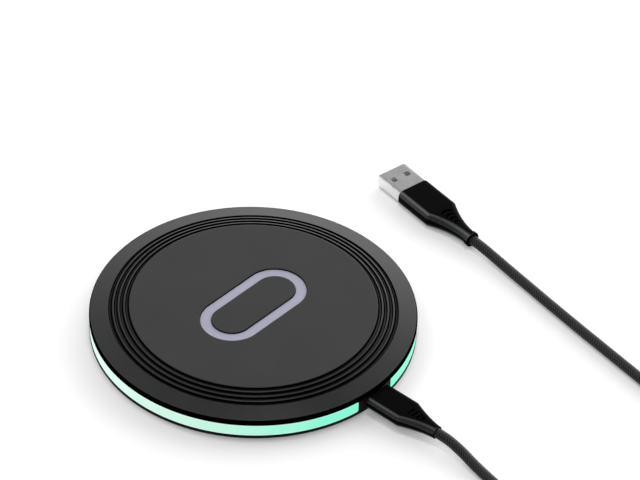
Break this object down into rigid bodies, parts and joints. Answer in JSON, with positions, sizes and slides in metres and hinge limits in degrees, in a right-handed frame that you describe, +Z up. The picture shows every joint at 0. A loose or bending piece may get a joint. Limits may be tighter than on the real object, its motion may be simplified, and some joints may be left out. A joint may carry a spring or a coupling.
{
  "type": "wireless charging pad",
  "caption": "Round wireless phone charging pad with grooved top, stadium-shaped grip ring, lit rim and a detachable braided USB lead.",
  "frame": {"origin": "bottom centre of the pad, on the surface it stands on", "axes": "+Z up out of the charging face; the port and its lead leave towards -Y; the grip ring's long axis lies along X"},
  "size_m": [0.1523, 0.2626, 0.0106],
  "materials": {
    "cover_plastic": "fine matte moulded",
    "base_plastic": "matte moulded",
    "foot_rubber": "matte",
    "grip_silicone": "smooth matte silicone",
    "light_guide": "frosted, lit from behind",
    "flex_circuit": "white solder mask",
    "led_body": "phosphor",
    "board_green": "solder mask",
    "screw_steel": "zinc plated",
    "connector_steel": "nickel plated",
    "connector_plastic": "glass-filled",
    "chip_black": "moulded package",
    "ferrite_grey": "sintered",
    "ceramic_tan": "fired ceramic",
    "capacitor_yellow": "moulded",
    "connector_white": "moulded nylon",
    "copper_wire": "enamelled strands",
    "adhesive_film": "film",
    "plug_rubber": "satin overmoulded",
    "cord_braid": "woven nylon braid",
    "tie_rubber": "matte",
    "insulator_white": "moulded",
    "contact_gold": "gold plated"
  },
  "bodies": {
    "pad": {"bottom_cover": "base_plastic", "foot_ring": "foot_rubber", "top_cover": "cover_plastic", "grip_ring": "grip_silicone", "light_guide": "light_guide", "led_flex": "flex_circuit", "leds": "led_body", "main_board": "board_green", "board_screws": "screw_steel", "case_screws": "screw_steel", "port_shell": "connector_steel", "port_tongue": "connector_plastic", "controller_ic": "chip_black", "bridge_mosfets": "chip_black", "power_inductor": "ferrite_grey", "resonant_capacitors": "ceramic_tan", "bulk_capacitors": "capacitor_yellow", "crystal": "connector_steel", "chip_passives": "ceramic_tan", "led_connector": "connector_white", "coil_bracket": "connector_plastic", "ferrite_shield": "ferrite_grey", "transmitter_coil": "copper_wire", "coil_adhesive": "adhesive_film", "coil_leads": "copper_wire", "thermistor": "chip_black"},
    "cable": {"usb_c_shell": "connector_steel", "usb_c_core": "connector_plastic", "usb_c_overmold": "plug_rubber", "cord_lead": "cord_braid", "cord_coil": "cord_braid", "cord_tail": "cord_braid", "cord_tie": "tie_rubber", "usb_a_overmold": "plug_rubber", "usb_a_shell": "connector_steel", "usb_a_core": "insulator_white", "usb_a_contacts": "contact_gold"}
  },
  "joints": [
    {"name": "usb_c_plug_slide", "type": "slide", "parent": "pad", "child": "cable", "axis": [0, -1, 0], "range_m": [0, 0.012]}
  ]
}
